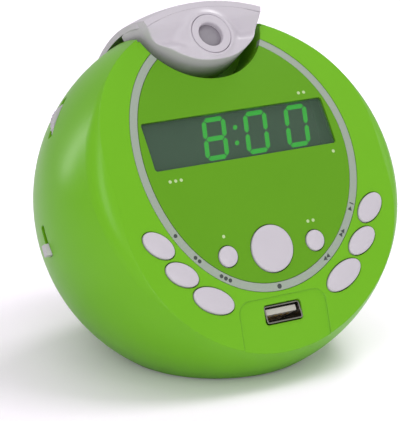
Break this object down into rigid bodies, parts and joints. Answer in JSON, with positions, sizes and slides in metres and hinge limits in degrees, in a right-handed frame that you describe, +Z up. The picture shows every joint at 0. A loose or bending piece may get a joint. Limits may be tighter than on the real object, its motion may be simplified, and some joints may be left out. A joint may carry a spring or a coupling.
{
  "type": "projection alarm clock",
  "caption": "Ball-shaped clock radio with a sloped face, lit digits, push keys, a USB socket and a hinged time projector on top.",
  "frame": {"origin": "middle of the base, on the surface that the feet stand on", "axes": "+Z up, the sloped face looks towards -Y and up, +X to the right as the user reads it"},
  "size_m": [0.121, 0.1065, 0.1151],
  "materials": {
    "case_plastic": "gloss, moulded",
    "panel_plastic": "gloss, moulded",
    "ring_silver": "silver paint, satin",
    "window_smoke": "smoke-tinted clear plastic, polished",
    "lilac_white_plastic": "semi-gloss, moulded",
    "board_laminate": "solder mask on glass fibre",
    "black_plastic": "matt, moulded",
    "lit_green": "lit light-emitting diode bars",
    "socket_steel": "nickel-plated, drawn",
    "tongue_plastic": "matt, moulded",
    "contact_gold": "gold flash",
    "zinc_steel": "zinc-plated",
    "chip_resin": "moulded epoxy",
    "lens_clear": "polished",
    "screen_glass": "liquid crystal behind glass",
    "lamp_resin": "clear resin over a light-emitting diode",
    "cone_paper": "pressed paper",
    "magnet_ferrite": "sintered, plain",
    "cell_skin": "shrunk sleeve",
    "foot_rubber": "matt, moulded"
  },
  "bodies": {
    "case": {"front_shell": "case_plastic", "rear_cover": "case_plastic", "face_panel": "panel_plastic", "ring_trim": "ring_silver", "display_window": "window_smoke", "display_board": "board_laminate", "usb_board": "board_laminate", "main_board": "board_laminate", "jack_board": "board_laminate", "led_display": "black_plastic", "tact_switches": "black_plastic", "volume_pot": "black_plastic", "power_jack": "black_plastic", "audio_jack": "black_plastic", "battery_tray": "black_plastic", "lit_segments": "lit_green", "usb_shell": "socket_steel", "usb_tongue": "tongue_plastic", "usb_contacts": "contact_gold", "display_screws": "zinc_steel", "main_screws": "zinc_steel", "tuner_can": "zinc_steel", "slide_switch": "zinc_steel", "hinge_pin": "zinc_steel", "jack_screws": "zinc_steel", "battery_contacts": "zinc_steel", "case_screws": "zinc_steel", "speaker_frame": "zinc_steel", "chips": "chip_resin", "speaker_cone": "cone_paper", "speaker_magnet": "magnet_ferrite", "backup_cells": "cell_skin", "base_feet": "foot_rubber"},
    "projector": {"projector_body": "lilac_white_plastic", "projector_cover": "lilac_white_plastic", "projector_screen": "screen_glass", "projector_lamp": "lamp_resin"},
    "focus": {"focus_ring": "lilac_white_plastic", "projector_lens": "lens_clear"},
    "volume": {"volume_wheel": "lilac_white_plastic"},
    "slide": {"slide_knob": "lilac_white_plastic"},
    "door": {"battery_door": "case_plastic"},
    "main_key": {"main_button": "lilac_white_plastic"},
    "hour_key": {"hour_button": "lilac_white_plastic"},
    "minute_key": {"minute_button": "lilac_white_plastic"},
    "left_upper_key": {"left_upper_button": "lilac_white_plastic"},
    "left_middle_key": {"left_middle_button": "lilac_white_plastic"},
    "left_lower_key": {"left_lower_button": "lilac_white_plastic"},
    "right_upper_key": {"right_upper_button": "lilac_white_plastic"},
    "right_middle_key": {"right_middle_button": "lilac_white_plastic"},
    "right_lower_key": {"right_lower_button": "lilac_white_plastic"}
  },
  "joints": [
    {"name": "projector_tilt", "type": "hinge", "parent": "case", "child": "projector", "pos_m": [0, 0.0423, 0.0875], "axis": [-1, 0, 0], "range_deg": [-6, 50]},
    {"name": "focus_turn", "type": "hinge", "parent": "projector", "child": "focus", "pos_m": [0, 0.00267, 0.1064], "axis": [0, -0.7771, 0.6293], "range_deg": [-90, 90]},
    {"name": "volume_turn", "type": "hinge", "parent": "case", "child": "volume", "pos_m": [-0.04247, 0.01657, 0.07744], "axis": [0, -0.8387, 0.5446], "range_deg": [0, 270]},
    {"name": "mode_slide", "type": "slide", "parent": "case", "child": "slide", "axis": [0, 0.5446, 0.8387], "range_m": [0, 0.006]},
    {"name": "battery_door_pull", "type": "slide", "parent": "case", "child": "door", "axis": [0, 0, -1], "range_m": [0, 0.012]},
    {"name": "main_press", "type": "slide", "parent": "case", "child": "main_key", "axis": [0, 0.8387, -0.5446], "range_m": [0, 0.0008], "stiffness_N_per_m": 2000, "springref_m": -0.0003},
    {"name": "hour_press", "type": "slide", "parent": "case", "child": "hour_key", "axis": [0, 0.8387, -0.5446], "range_m": [0, 0.0006], "stiffness_N_per_m": 2000, "springref_m": -0.0003},
    {"name": "minute_press", "type": "slide", "parent": "case", "child": "minute_key", "axis": [0, 0.8387, -0.5446], "range_m": [0, 0.0006], "stiffness_N_per_m": 2000, "springref_m": -0.0003},
    {"name": "left_upper_press", "type": "slide", "parent": "case", "child": "left_upper_key", "axis": [0, 0.8387, -0.5446], "range_m": [0, 0.0006], "stiffness_N_per_m": 2000, "springref_m": -0.0003},
    {"name": "left_middle_press", "type": "slide", "parent": "case", "child": "left_middle_key", "axis": [0, 0.8387, -0.5446], "range_m": [0, 0.0006], "stiffness_N_per_m": 2000, "springref_m": -0.0003},
    {"name": "left_lower_press", "type": "slide", "parent": "case", "child": "left_lower_key", "axis": [0, 0.8387, -0.5446], "range_m": [0, 0.0006], "stiffness_N_per_m": 2000, "springref_m": -0.0003},
    {"name": "right_upper_press", "type": "slide", "parent": "case", "child": "right_upper_key", "axis": [0, 0.8387, -0.5446], "range_m": [0, 0.0006], "stiffness_N_per_m": 2000, "springref_m": -0.0003},
    {"name": "right_middle_press", "type": "slide", "parent": "case", "child": "right_middle_key", "axis": [0, 0.8387, -0.5446], "range_m": [0, 0.0006], "stiffness_N_per_m": 2000, "springref_m": -0.0003},
    {"name": "right_lower_press", "type": "slide", "parent": "case", "child": "right_lower_key", "axis": [0, 0.8387, -0.5446], "range_m": [0, 0.0006], "stiffness_N_per_m": 2000, "springref_m": -0.0003}
  ]
}
